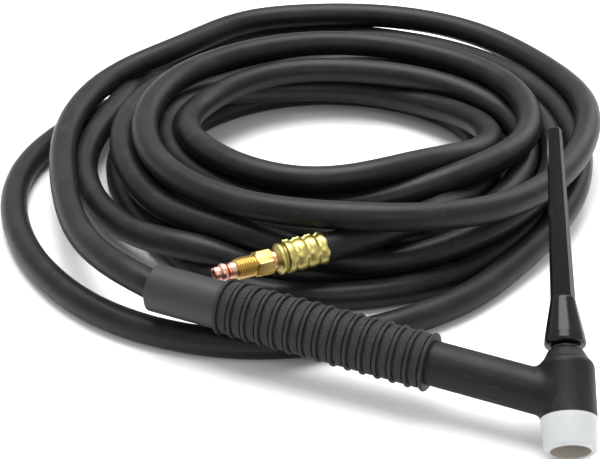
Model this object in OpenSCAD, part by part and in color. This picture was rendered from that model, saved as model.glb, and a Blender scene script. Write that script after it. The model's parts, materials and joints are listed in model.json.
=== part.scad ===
// Air-cooled TIG torch lying on its own coiled gas and power cable.
// Millimetres, +Z up, floor at z = 0. The torch body is built in its own frame (handle axis
// along X, the head's axis crossing it at the origin) and is then laid down in its rest pose.

/* [Head] */
// Outer radius of the moulded barrel
barrel_r = 13; // [11.5:0.1:15]
// Length of the barrel from the handle's axis towards the back cap
barrel_up = 23.5; // [21:0.5:28]
// Length of the barrel from the handle's axis towards the nozzle
barrel_down = 9.5; // [8:0.5:14]
// Radius of the barrel's flat top, around the cap
barrel_top_r = 8.2; // [7.8:0.1:9.5]
// Angle between the handle and the back cap
head_angle = 70; // [60:1:90]
// Radius of the neck between head and grip
neck_r = 10.8; // [10:0.1:12.5]
// Length of the neck from the head's axis to its rear end, inside the handle
neck_len = 92; // [86:1:110]

/* [Brass core] */
// Outer radius of the brass core in the barrel
core_r = 7.2; // [6.6:0.1:7.6]
// Wall radius of the thread that takes a collet body
front_thread_r = 4.3; // [3.8:0.05:4.8]
// Length of that thread
front_thread_len = 6.5; // [4:0.5:7]
// Wall radius of the thread that takes the back cap
rear_thread_r = 4.76; // [4.2:0.02:5.2]
// Length of that thread
rear_thread_len = 12; // [9:0.5:13]
// Radius of the passage between the two threads
core_passage_r = 3.4; // [2.4:0.1:3.6]

/* [Front insulator] */
// Visible length of the insulator
insulator_len = 15.5; // [12:0.5:22]
// Outer radius at the rim
insulator_rim_r = 12.2; // [11:0.1:13]
// Radius of the mouth
mouth_r = 9.3; // [8:0.1:10]
// Thickness of the web behind the mouth
web_t = 3.5; // [2:0.1:5]
// Radius of the hole in the web
web_hole_r = 6; // [5:0.1:6.8]
// Length of the sleeve that pushes over the core
sleeve_len = 7; // [4:0.5:8]
// Wall of that sleeve
sleeve_wall = 2.1; // [1.2:0.1:3]

/* [Back cap] */
// Length of the cap outside the head
cap_len = 115; // [60:1:140]
// Radius of the cap's lip
cap_lip_r = 9.9; // [8.8:0.1:12]
// Radius of the stem where the flare ends
stem_base_r = 5.9; // [5.6:0.1:7.5]
// Radius of the stem's flat tip
stem_tip_r = 3.7; // [3.5:0.1:5]
// Length of the flare
flare_len = 24; // [16:1:30]
// Gap between head and cap that shows the O-ring
cap_gap = 2.6; // [1.6:0.1:4]
// Radius of the passage for the tungsten electrode
tungsten_r = 1.9; // [1.3:0.1:2.2]
// Number of flats along the stem
flats = 8; // [6:1:10]
// Depth of a flat at its middle
flat_depth = 0.45; // [0.2:0.05:0.6]
// Pitch of the cap's thread (24 turns to the inch)
cap_pitch = 1.0583;

/* [Handle] */
// Distance from the head's axis to the rear end of the handle
handle_rear = 216; // [200:1:260]
// Distance from the head's axis to the front end of the grip
grip_front = 67; // [50:1:78]
// Number of raised ribs
ribs = 15; // [8:1:18]
// Distance from rib to rib
rib_pitch = 7.7; // [6:0.1:9]
// Radius over the ribs
rib_r = 14.3; // [13.9:0.1:16]
// Width of one rib
rib_w = 1.9; // [1.2:0.1:2.6]
// Radius of the lands between the ribs
land_r = 13.3; // [12.9:0.1:13.6]
// Radius at the bottom of the thin grooves beside each rib
groove_r = 12.7; // [12.3:0.1:12.8]
// Width of one thin groove
groove_w = 0.9; // [0.6:0.1:1.4]
// Outer radius of the smooth rear collar
collar_r = 12.15; // [11.8:0.05:12.6]
// Outer radius of the inner tube under the grip
tube_r = 11.8; // [11.5:0.1:12.1]

/* [Cable] */
// Outer diameter of the rubber cable
cable_d = 15.4; // [13:0.1:15.8]
// Outer radius of the coil as it lies
coil_outer_r = 165; // [150:1:175]
// Inner radius of the coil
coil_inner_r = 78; // [65:1:90]
// Height of the coil's inner pile
coil_h = 55; // [46:1:62]
// Height of the coil's low outer turns
coil_shelf_h = 23; // [18:1:24]

/* [Connector] */
// Length of the crimped ferrule
ferrule_len = 22; // [18:0.5:28]
// How far the crimp squeezes the hose's radius
hose_squeeze = 0.4; // [0.1:0.1:1]
// Wall of the ferrule
ferrule_wall = 0.9; // [0.7:0.1:1.2]
// Outer radius of the nut's thread
plug_thread_r = 5.6; // [5:0.05:6.5]
// Length of the nut's thread
plug_thread_len = 11; // [8:0.5:14]
// Pitch of the nut's thread (20 turns to the inch)
plug_pitch = 1.27;
// Distance across the flats of the nut
plug_nut_af = 12.7; // [12.7:0.1:15]
// Length of the nut's hexagon
plug_nut_len = 9; // [7:0.5:12]
// Radius of the nipple's ball nose
nose_r = 4.8; // [4.4:0.1:5]
// Radius of the passage through the nipple
plug_bore_r = 2.6; // [2:0.1:2.8]

/* [Hidden] */
$fn = 96;
running = 0.05;                 // radial clearance of pieces that turn or slide on each other
eps = 0.5;                      // how far a cutter stands out of what it cuts
cable_r = cable_d / 2;

// Stations along the head's axis, counted from the handle's axis towards the back cap
core_bottom = -barrel_down + 0.3;
core_top = barrel_up - 0.8;
rim_at = -barrel_down - insulator_len;
web_top = -barrel_down - running;
sleeve_r_in = core_r + running;
sleeve_r_out = sleeve_r_in + sleeve_wall;
sleeve_top = -barrel_down + sleeve_len;
cap_base = barrel_up + cap_gap;
flare_top = cap_base + flare_len;
cap_tip = cap_base + cap_len;
ring_r = cap_gap / 2 - running;         // section radius of the O-ring
insert_r = rear_thread_r - running;
insert_bottom = core_top - rear_thread_len + 2;
rim_fillet = 1.4;

// Stations along the handle's axis, counted from the head's axis to the rear
neck_from = max(0, (neck_r * sin(head_angle) - barrel_down) / cos(head_angle)) + 0.5;
tube_wall_r = 4;                        // outer radius of the copper tube in the neck
tube_bore_r = 2.8;
grip_rear = grip_front + (ribs - 1) * rib_pitch + rib_w;
adapter_from = neck_len - 10;
adapter_to = neck_len + 14;
adapter_r = 6.4;
union_thread_r = 4.75;
nut_af = 14;
nut_from = adapter_to - 8;
nut_to = adapter_to + 10;
barb_r = 4.2;
barb_bore_r = 3.2;
hose_from = nut_to + 3;
torch_ferrule_len = 26;
inner_bore_r = max(cable_r + ferrule_wall, nut_af / sqrt(3)) + 0.5;
hose_to = handle_rear - 2;

// Stations along the connector, counted from the ferrule's rear face towards the nose
ferrule_r = cable_r - hose_squeeze + ferrule_wall;
flange_len = 5.5;
neck_to = ferrule_len + flange_len + 2;
hex_to = neck_to + plug_nut_len;
thread_to = hex_to + plug_thread_len;
thread_depth = 0.6 * plug_pitch;
relief_len = 1;
shank_r = 4.3;
nose_from = thread_to + 4;
nose_to = nose_from + 7.5;

// Rest pose of the torch: pitch lifts the handle's rear end, roll lays the back cap over
pitch = 1.8;
roll = 54;
cap_rise = cos(head_angle) * sin(pitch) + sin(head_angle) * cos(roll) * cos(pitch);
rim_drop = (-rim_at - rim_fillet) * cap_rise
    + (insulator_rim_r - rim_fillet) * sqrt(1 - cap_rise * cap_rise) + rim_fillet;
head_at = [98, -41, rim_drop];
collar_at = head_at + hose_to * [-cos(pitch), 0, sin(pitch)];
coil_at = [-102, 152];
plug_at = [-54, 24, 33];
plug_heading = 229;

// Routes of the cable where it isn't coiled, from its exit or its start
lead_in_route = [
    collar_at, [-130, -39, 32.6], [-148, -31, 31], [-170, -17, 29], [-192, 3, 27],
    [-214, 31, 26], [-233, 58, 25.5], [-249, 85, 25.5], [-260, 112, 26], [-266, 138, 27],
    [-266, 164, 28], [-259, 190, 30], [-246, 214, 32]
];
outer_loop_route = [
    [-244, 204, cable_r], [-260, 178, cable_r], [-271, 148, cable_r], [-276, 118, cable_r],
    [-274, 86, cable_r], [-266, 58, cable_r], [-252, 33, cable_r], [-233, 9, cable_r],
    [-210, -12, cable_r], [-184, -29, cable_r], [-154, -42, cable_r], [-122, -47, cable_r],
    [-90, -45, cable_r], [-60, -36, cable_r], [-33, -19, cable_r], [-10, 4, cable_r],
    [8, 30, cable_r], [20, 58, cable_r]
];
tail_route = [plug_at, [-43, 36.5, 33], [-33, 50, 33], [-24, 65, 33], [-17, 82, 32]];
route_steps = 2;                // rings of the tube to each stretch between two points
tube_sides = 10;

/* ---- shared shapes ---- */

// A solid turned about the head's axis or the handle's axis
module on_head_axis() rotate([0, head_angle - 90, 0]) children();
module on_handle_axis() rotate([0, -90, 0]) children();
module rest_pose() translate(head_at) rotate([0, pitch, 0]) rotate([-roll, 0, 0]) children();
module on_plug() translate(plug_at) rotate([0, 0, plug_heading]) rotate([0, 90, 0]) children();

// A straight pipe from one station to another
module pipe(r_out, r_in, from, to) {
    difference() {
        translate([0, 0, from]) cylinder(r = r_out, h = to - from);
        translate([0, 0, from - eps]) cylinder(r = r_in, h = to - from + 2 * eps);
    }
}

// A round rod from one station to another
module rod(r, from, to) translate([0, 0, from]) cylinder(r = r, h = to - from);

// A hexagonal prism, from one station to another, with its two ends turned down
module hexagon(af, from, to) {
    corner_r = af / sqrt(3);
    turned = (corner_r - af / 2) * 0.8;
    intersection() {
        translate([0, 0, from]) cylinder(r = corner_r, h = to - from, $fn = 6);
        rotate_extrude() polygon([
            [0, from], [corner_r - turned, from], [corner_r, from + turned],
            [corner_r, to - turned], [corner_r - turned, to], [0, to]
        ]);
    }
}

// Points of a quarter circle about a centre, from one angle to another
function arc(c, r, from, to, n = 8) =
    [for (i = [0 : n]) c + r * [cos(from + (to - from) * i / n), sin(from + (to - from) * i / n)]];

// A smooth curve through a route's points, as a list of closely spaced points
function nearest(p, i) = p[min(max(i, 0), len(p) - 1)];
function between(a, b, c, d, t) =
    0.5 * (2 * b + (c - a) * t + (2 * a - 5 * b + 4 * c - d) * t * t
    + (3 * b - a - 3 * c + d) * t * t * t);
function smooth(p, n) = concat(
    [for (i = [0 : len(p) - 2]) for (j = [0 : n - 1])
        between(nearest(p, i - 1), p[i], p[i + 1], nearest(p, i + 2), j / n)],
    [p[len(p) - 1]]
);
function unit(v) = v / norm(v);
function heading(p, i) = unit(p[min(i + 1, len(p) - 1)] - p[max(i - 1, 0)]);

// A tube swept along a route, its rings square to the way it runs
module swept(route, r, first = undef) {
    path = smooth(route, route_steps);
    last = len(path) - 1;
    rings = [for (i = [0 : last])
        let (along = i == 0 && first != undef ? first : heading(path, i),
             side = unit(cross(along, [0, 0, 1])),
             up = cross(side, along))
        for (k = [0 : tube_sides - 1])
            path[i] + r * (cos(360 * k / tube_sides - 90) * side
                + sin(360 * k / tube_sides - 90) * up)];
    walls = [for (i = [0 : last - 1]) for (k = [0 : tube_sides - 1])
        [i * tube_sides + k, i * tube_sides + (k + 1) % tube_sides,
         (i + 1) * tube_sides + (k + 1) % tube_sides, (i + 1) * tube_sides + k]];
    ends = [
        [for (k = [tube_sides - 1 : -1 : 0]) k],
        [for (k = [0 : tube_sides - 1]) last * tube_sides + k]
    ];
    polyhedron(points = rings, faces = concat(walls, ends), convexity = 6);
}

/* ---- torch ---- */

// Rubber overmoulding: a barrel with a rounded shoulder, and the neck
module head_body() color([0.10, 0.10, 0.10]) rest_pose() difference() {
    union() {
        on_head_axis() rotate_extrude() polygon(concat(
            [[0, -barrel_down], [barrel_r, -barrel_down]],
            arc([barrel_r - 5, barrel_up - 9], 5, 0, 55, 6),
            [[barrel_top_r + 0.5, barrel_up - 0.6], [barrel_top_r, barrel_up], [0, barrel_up]]
        ));
        on_handle_axis() rod(neck_r, neck_from, neck_len);
    }
    on_head_axis() {
        rod(core_r, core_bottom, core_top);
        rod(insert_r + 0.6, core_top - eps, barrel_up + eps);
        pipe(sleeve_r_out + running, sleeve_r_in - running, -barrel_down - eps, sleeve_top + 0.2);
        rod(core_r, -barrel_down - eps, core_bottom + eps);
    }
    on_handle_axis() {
        rod(tube_wall_r, core_r - 1, neck_len + eps);
        rod(adapter_r, adapter_from, neck_len + eps);
    }
}

// Brass core: a thread for the collet body in front and one for the back cap behind
module head_core() color([0.78, 0.60, 0.25]) rest_pose() difference() {
    on_head_axis() rod(core_r, core_bottom, core_top);
    on_head_axis() {
        rod(front_thread_r, core_bottom - eps, core_bottom + front_thread_len);
        rod(core_passage_r, core_bottom, core_top);
        rod(rear_thread_r, core_top - rear_thread_len, core_top + eps);
    }
    on_handle_axis() rod(tube_bore_r, core_passage_r - 1, core_r + 1);
    on_handle_axis() rod(tube_wall_r, core_r - 1.2, core_r + 2);
}

// Copper tube that carries gas and current through the neck
module power_tube() color([0.80, 0.45, 0.30]) rest_pose() on_handle_axis()
    pipe(tube_wall_r, tube_bore_r, core_r - 1.2, adapter_to - 6);

// Brass adapter brazed to the rear end of the tube
module tube_adapter() color([0.78, 0.60, 0.25]) rest_pose() on_handle_axis() difference() {
    union() {
        rod(adapter_r, adapter_from, neck_len + 4);
        rod(union_thread_r, neck_len + 4, adapter_to);
    }
    rod(tube_wall_r, adapter_from - eps, adapter_to - 6);
    rod(tube_bore_r, adapter_to - 7, adapter_to + eps);
}

// White insulator: rim, mouth, web and a sleeve that pushes over the core
module front_insulator() color([0.93, 0.93, 0.91]) rest_pose() on_head_axis() difference() {
    union() {
        rotate_extrude() polygon(concat(
            [[0, rim_at]],
            arc([insulator_rim_r - rim_fillet, rim_at + rim_fillet], rim_fillet, -90, 0, 6),
            [[barrel_r, web_top - 2], [barrel_r, web_top], [0, web_top]]
        ));
        rod(sleeve_r_out, web_top - eps, sleeve_top);
    }
    rod(mouth_r, rim_at - eps, web_top - web_t);
    rod(web_hole_r, rim_at, web_top);
    rod(sleeve_r_in, web_top, sleeve_top + eps);
}

// Long phenolic cap: lip, flare and a fluted stem, hollow for the electrode
module back_cap() color([0.12, 0.08, 0.07]) rest_pose() on_head_axis() difference() {
    rotate_extrude() polygon(concat(
        [[0, cap_base]],
        arc([cap_lip_r - 1.6, cap_base + 1.6], 1.6, -90, 0, 6),
        [[cap_lip_r - 0.4, cap_base + 5],
         [stem_base_r + 0.9, flare_top - 5], [stem_base_r, flare_top],
         [stem_tip_r, cap_tip - 0.5], [stem_tip_r - 0.5, cap_tip], [0, cap_tip]]
    ));
    rod(insert_r + 0.3, cap_base - eps, cap_base + 10);
    rod(tungsten_r, cap_base, cap_tip - 4);
    stem_flats();
}

// Flats along the stem, each running out in a pointed arch where the flare begins
module stem_flats() {
    out = cap_lip_r + 2;
    for (i = [0 : flats - 1]) rotate([0, 0, (i + 0.5) * 360 / flats])
        rotate([90, 0, 0]) translate([0, 0, -out]) linear_extrude(2 * out) polygon([
            [stem_base_r - flat_depth, flare_top], [stem_tip_r - flat_depth * 0.7, cap_tip],
            [stem_tip_r - flat_depth * 0.7, cap_tip + eps], [out, cap_tip + eps],
            [out, flare_top - 3], [stem_base_r + 1.5, flare_top - 3]
        ]);
}

// Brass insert moulded into the cap, with the thread that screws into the core
module cap_insert() color([0.78, 0.60, 0.25]) rest_pose() on_head_axis() {
    pipe(insert_r, tungsten_r, insert_bottom, cap_base);
    pipe(insert_r + 0.3, tungsten_r, cap_base, cap_base + 10);
}

// Rubber ring that seals the gas between head and cap
module cap_o_ring() color([0.05, 0.05, 0.05]) rest_pose() on_head_axis()
    translate([0, 0, barrel_up + cap_gap / 2]) rotate_extrude()
        translate([insert_r + running + ring_r, 0]) circle(r = ring_r, $fn = 48);

// Rigid inner tube of the handle, which ends in the smooth rear collar
module handle_tube() color([0.20, 0.20, 0.21]) rest_pose() on_handle_axis() difference() {
    rotate_extrude() polygon([
        [0, grip_front + 1], [tube_r, grip_front + 1], [tube_r, grip_rear],
        [collar_r + 0.35, grip_rear], [collar_r + 0.35, grip_rear + 0.8],
        [collar_r, grip_rear + 1.1], [collar_r, handle_rear - 0.8],
        [collar_r - 0.8, handle_rear], [0, handle_rear]
    ]);
    rod(neck_r + running, grip_front, neck_len + 1);
    rod(inner_bore_r, neck_len, handle_rear - 6);
    rod(cable_r + 0.3, handle_rear - 7, handle_rear + eps);
}

// Soft grip with ring-shaped ribs, a thin groove on each side of every rib
module ribbed_grip() color([0.13, 0.13, 0.13]) rest_pose() on_handle_axis() difference() {
    rotate_extrude() {
        translate([0, grip_front]) square([groove_r, grip_rear - grip_front]);
        for (i = [0 : ribs - 1]) {
            translate([0, grip_front + i * rib_pitch]) {
                square([rib_r - rib_w / 2, rib_w]);
                translate([rib_r - rib_w / 2, rib_w / 2]) circle(r = rib_w / 2, $fn = 48);
            }
            if (i < ribs - 1) land(grip_front + i * rib_pitch + rib_w + groove_w);
        }
    }
    rod(neck_r + 0.1, grip_front - eps, grip_front + 1);
    rod(tube_r, grip_front + 1, grip_rear + eps);
}

// One land between two ribs, with chamfered edges
module land(from) {
    to = from + rib_pitch - rib_w - 2 * groove_w;
    polygon([
        [0, from], [land_r - 0.3, from], [land_r, from + 0.3],
        [land_r, to - 0.3], [land_r - 0.3, to], [0, to]
    ]);
}

// Brass nut that pulls the cable's nipple onto the adapter
module union_nut() color([0.78, 0.60, 0.25]) rest_pose() on_handle_axis() difference() {
    hexagon(nut_af, nut_from, nut_to);
    rod(union_thread_r, nut_from - eps, adapter_to + 3);
    rod(barb_r + 0.1, adapter_to, nut_to + eps);
}

// Copper nipple with a flange under the nut and a barb inside the hose
module union_nipple() color([0.80, 0.45, 0.30]) rest_pose() on_handle_axis() difference() {
    union() {
        rod(union_thread_r - 0.1, adapter_to, adapter_to + 3);
        rod(barb_r, adapter_to + 3, hose_from + torch_ferrule_len);
    }
    rod(barb_bore_r, adapter_to - eps, hose_from + torch_ferrule_len + eps);
}

// Crimped sleeve around the hose inside the handle
module union_ferrule() color([0.80, 0.66, 0.30]) rest_pose() on_handle_axis()
    pipe(cable_r + ferrule_wall, cable_r, hose_from, hose_from + torch_ferrule_len);

// The cable's first stretch, straight inside the handle
module hose_torch_end() color([0.12, 0.12, 0.12]) rest_pose() on_handle_axis()
    pipe(cable_r, barb_r, hose_from, hose_to);

// Stranded copper conductor that lies in the hose, crimped into the nipple
module conductor_torch_end() color([0.75, 0.42, 0.28]) rest_pose() on_handle_axis()
    rod(barb_bore_r, hose_from, hose_to);

/* ---- cable ---- */

// Stretch from the collar over the outer loop and onto the coil
module cable_lead_in() color([0.12, 0.12, 0.12])
    swept(lead_in_route, cable_r, [-cos(pitch), 0, sin(pitch)]);

// The widest turn, which lies on the floor and passes under the handle
module cable_outer_loop() color([0.12, 0.12, 0.12]) swept(outer_loop_route, cable_r);

// Outer shape of the piled turns: a high inner pile and a low outer shelf
module cable_coil() color([0.14, 0.14, 0.14]) translate([coil_at.x, coil_at.y, 0])
    rotate_extrude() polygon([
        [coil_inner_r + 10, 0], [coil_outer_r, 0], [coil_outer_r, coil_shelf_h - cable_r],
        [coil_outer_r - cable_r, coil_shelf_h], [coil_inner_r + 52, coil_shelf_h],
        [coil_inner_r + 48, coil_h - cable_r], [coil_inner_r + 40, coil_h],
        [coil_inner_r + 14, coil_h], [coil_inner_r, coil_h - 2 * cable_r]
    ]);

// Last stretch, out from under the top turns to the connector
module cable_tail() color([0.12, 0.12, 0.12])
    swept(tail_route, cable_r, [-cos(plug_heading), -sin(plug_heading), 0]);

/* ---- connector ---- */

// The cable's end, squeezed inside the ferrule
module hose_plug_end() color([0.12, 0.12, 0.12]) on_plug()
    pipe(ferrule_r - ferrule_wall, shank_r, 0, ferrule_len);

// Crimped brass ferrule: a flange in front and three pressed bands
module plug_ferrule() color([0.82, 0.70, 0.28]) on_plug() difference() {
    union() {
        rod(ferrule_r, 0, ferrule_len);
        rod(ferrule_r - 0.3, ferrule_len, ferrule_len + flange_len);
    }
    rod(ferrule_r - ferrule_wall, -eps, ferrule_len);
    rod(shank_r, 0, ferrule_len + flange_len + eps);
    for (i = [0 : 2]) translate([0, 0, 4 + i * 6.5]) rotate_extrude()
        translate([ferrule_r + 1.9, 0]) circle(r = 2.3, $fn = 48);
}

// Copper nipple: barb in the hose, shank, groove and ball nose, bored right through
module plug_nipple() color([0.82, 0.48, 0.36]) on_plug() difference() {
    union() {
        rod(shank_r, 1, nose_from);
        rod(shank_r + 0.6, ferrule_len + flange_len, neck_to - running);
        rotate_extrude() polygon(concat(
            [[0, nose_from], [nose_r - 0.7, nose_from]],
            arc([nose_r - 2.4, nose_from + 2.4], 2.4, -20, 60, 8),
            [[nose_r - 1.4, nose_to - 1], [nose_r - 1.8, nose_to], [0, nose_to]]
        ));
    }
    rod(plug_bore_r, ferrule_len, nose_to + eps);
    rod(barb_bore_r, 0, ferrule_len + 1);
    translate([0, 0, nose_from - 0.7]) pipe(shank_r + 2, shank_r - 0.7, -0.4, 0.4);
}

// Brass nut that turns on the nipple: a hexagon, a relief and a male thread (plain here)
module plug_nut() color([0.80, 0.62, 0.26]) on_plug() difference() {
    union() {
        hexagon(plug_nut_af, neck_to + running, hex_to);
        rod(plug_thread_r - thread_depth, hex_to - 1, hex_to + relief_len);
        rotate_extrude() polygon([
            [0, hex_to + relief_len], [plug_thread_r, hex_to + relief_len],
            [plug_thread_r, thread_to - thread_depth], [plug_thread_r - thread_depth, thread_to],
            [0, thread_to]
        ]);
    }
    rod(shank_r + running, neck_to - eps, thread_to + eps);
}

// Stranded copper conductor crimped into the nipple's tail
module conductor_plug_end() color([0.75, 0.42, 0.28]) on_plug()
    rod(barb_bore_r, 1, ferrule_len - 2);

head_body();
head_core();
power_tube();
tube_adapter();
front_insulator();
back_cap();
cap_insert();
cap_o_ring();
handle_tube();
ribbed_grip();
union_nut();
union_nipple();
union_ferrule();
hose_torch_end();
conductor_torch_end();
cable_lead_in();
cable_outer_loop();
cable_coil();
cable_tail();
hose_plug_end();
plug_ferrule();
plug_nipple();
plug_nut();
conductor_plug_end();
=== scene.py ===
"""Looks of an air-cooled TIG torch that lies on its own coiled gas and power cable.

Metres, +Z up, the floor at z = 0. Sizes are given in millimetres and scaled by MM where they are used.
"""

import json
import logging
import math
from dataclasses import dataclass, field
from enum import Enum

import bpy
import numpy as np
from mathutils import Matrix, Vector


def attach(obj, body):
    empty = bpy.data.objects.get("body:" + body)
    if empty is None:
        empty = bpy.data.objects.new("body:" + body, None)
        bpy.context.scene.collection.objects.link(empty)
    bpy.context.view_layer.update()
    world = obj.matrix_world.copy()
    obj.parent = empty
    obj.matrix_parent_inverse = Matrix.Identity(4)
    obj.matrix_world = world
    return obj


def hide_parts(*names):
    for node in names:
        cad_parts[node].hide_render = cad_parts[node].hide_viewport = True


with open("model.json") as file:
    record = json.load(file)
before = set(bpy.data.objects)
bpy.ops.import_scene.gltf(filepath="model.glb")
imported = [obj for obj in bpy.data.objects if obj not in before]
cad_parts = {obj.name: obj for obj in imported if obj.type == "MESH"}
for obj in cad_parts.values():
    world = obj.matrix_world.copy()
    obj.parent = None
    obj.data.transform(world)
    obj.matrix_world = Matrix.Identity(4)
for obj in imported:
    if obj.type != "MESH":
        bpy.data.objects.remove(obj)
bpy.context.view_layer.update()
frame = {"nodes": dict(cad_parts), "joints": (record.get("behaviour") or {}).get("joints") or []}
MM = 0.001
LOG = logging.getLogger("tig_torch")


# ---------------------------------------------------------------- shared geometry

@dataclass(frozen=True)
class Axis:
    """A straight axis in space, along which stations are counted in millimetres."""

    origin: Vector
    along: Vector
    side: Vector

    def matrix(self) -> Matrix:
        """Matrix that takes (side, up, station) coordinates in metres to the row frame."""
        up = self.along.cross(self.side).normalized()
        turned = Matrix((self.side, up, self.along)).transposed().to_4x4()
        return Matrix.Translation(self.origin) @ turned

    def at(self, station: float) -> Vector:
        """Point of the axis at a station in millimetres."""
        return self.origin + self.along * station * MM


def square_to(along: Vector, hint: Vector) -> Vector:
    """Unit vector square to an axis, as near to a hint as it can be."""
    return (hint - along * hint.dot(along)).normalized()


def mesh_object(name: str, points: list, faces: list, smooth_deg: float = 35.0) -> bpy.types.Object:
    """Makes a mesh object with smooth shading that breaks at sharp edges.

    Args:
        name: the piece's name.
        points: vertices in the row frame, in metres.
        faces: tuples of vertex numbers.
        smooth_deg: edges bent by more than this many degrees stay sharp.

    Returns:
        The new object, linked to the scene.
    """
    mesh = bpy.data.meshes.new(name)
    mesh.from_pydata([tuple(p) for p in points], [], faces)
    mesh.validate()
    mesh.update()
    mesh.polygons.foreach_set("use_smooth", [True] * len(mesh.polygons))
    mesh.set_sharp_from_angle(angle=math.radians(smooth_deg))
    piece = bpy.data.objects.new(name, mesh)
    bpy.context.scene.collection.objects.link(piece)
    return piece


def ring_solid(name: str, axis: Axis, rows: list, sides: int, closed: bool = True,
               smooth_deg: float = 35.0) -> bpy.types.Object:
    """Builds a solid from rings about an axis.

    Args:
        name: the piece's name.
        axis: the axis that the rings go round.
        rows: one (station, radius) pair for each ring, in millimetres. Station and radius are numbers
            or functions of the angle.
        sides: points in each ring.
        closed: joins the last ring to the first, as for a hollow turned piece.
        smooth_deg: edges bent by more than this many degrees stay sharp.

    Returns:
        The new object.
    """
    matrix = axis.matrix()
    angles = [math.tau * k / sides for k in range(sides)]
    points = []
    for station, radius in rows:
        for a in angles:
            z = station(a) if callable(station) else station
            r = radius(a) if callable(radius) else radius
            points.append(matrix @ (Vector((r * math.cos(a), r * math.sin(a), z)) * MM))
    count = len(rows)
    faces = [
        (i * sides + k, i * sides + (k + 1) % sides,
         (i + 1) % count * sides + (k + 1) % sides, (i + 1) % count * sides + k)
        for i in range(count if closed else count - 1) for k in range(sides)
    ]
    return mesh_object(name, points, faces, smooth_deg)


def rounded(corners: list, radius: float, steps: int = 4) -> list:
    """Rounds the corners of a closed profile.

    Args:
        corners: (station, radius) pairs in order round the profile.
        radius: fillet radius, cut down where a side is short.
        steps: points to each fillet, less one.

    Returns:
        The rounded profile as (station, radius) pairs.
    """
    out = []
    pts = [Vector(c) for c in corners]
    for i, p in enumerate(pts):
        a, b = pts[i - 1] - p, pts[(i + 1) % len(pts)] - p
        half = a.angle(b) / 2
        cut = min(radius / math.tan(half), 0.45 * a.length, 0.45 * b.length)
        start, end = p + a.normalized() * cut, p + b.normalized() * cut
        for k in range(steps + 1):
            t = k / steps
            q = start.lerp(p, t).lerp(p.lerp(end, t), t)
            out.append((q.x, q.y))
    return out


def spline(values: np.ndarray, steps: int) -> np.ndarray:
    """Catmull-Rom curve through rows of values, with a number of steps between each two.

    Args:
        values: the rows to pass through.
        steps: how many new rows there are for each old one.

    Returns:
        The rows of the curve.
    """
    padded = np.vstack([2 * values[0] - values[1], values, 2 * values[-1] - values[-2]])
    out = []
    for i in range(len(values) - 1):
        a, b, c, d = padded[i:i + 4]
        for k in range(steps):
            t = k / steps
            out.append(0.5 * (2 * b + (c - a) * t + (2 * a - 5 * b + 4 * c - d) * t * t
                              + (3 * b - a - 3 * c + d) * t ** 3))
    out.append(values[-1])
    return np.array(out)


def evenly(points: np.ndarray, spacing: float) -> np.ndarray:
    """Rows along a polyline, a fixed spacing apart. Their first three values are the place.

    Args:
        points: rows whose first three values are the place.
        spacing: distance between the new rows.

    Returns:
        The new rows.
    """
    run = np.concatenate([[0], np.cumsum(np.linalg.norm(np.diff(points[:, :3], axis=0), axis=1))])
    marks = np.linspace(0, run[-1], max(2, round(run[-1] / spacing) + 1))
    return np.column_stack([np.interp(marks, run, points[:, k]) for k in range(points.shape[1])])


def spread(rows: np.ndarray, kernel: np.ndarray, share: int = 1) -> np.ndarray:
    """Spreads rows of values along the cable.

    Args:
        rows: one row for each point.
        kernel: weights, which add up to 1.
        share: uses only the middle 1/share of the kernel.

    Returns:
        The spread rows, as many as before.
    """
    half = len(kernel) // 2 // share
    middle = len(kernel) // 2
    weights = kernel[middle - half:middle + half + 1]
    weights = weights / weights.sum()
    padded = np.pad(rows, ((half, half), (0, 0)), mode="edge")
    return np.column_stack([np.convolve(padded[:, k], weights, "valid") for k in range(rows.shape[1])])


def length_of(points: np.ndarray) -> float:
    """Length of a polyline."""
    return float(np.linalg.norm(np.diff(points, axis=0), axis=1).sum())


# ---------------------------------------------------------------- shader node groups

class Effect(Enum):
    """Shared shader effects, each one a node group."""

    GRAIN = "fine_grain"
    DUST = "settled_dust"
    SCUFFS = "handling_scuffs"
    EDGE_WEAR = "edge_wear"
    TURNING = "turning_lines"


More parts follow.
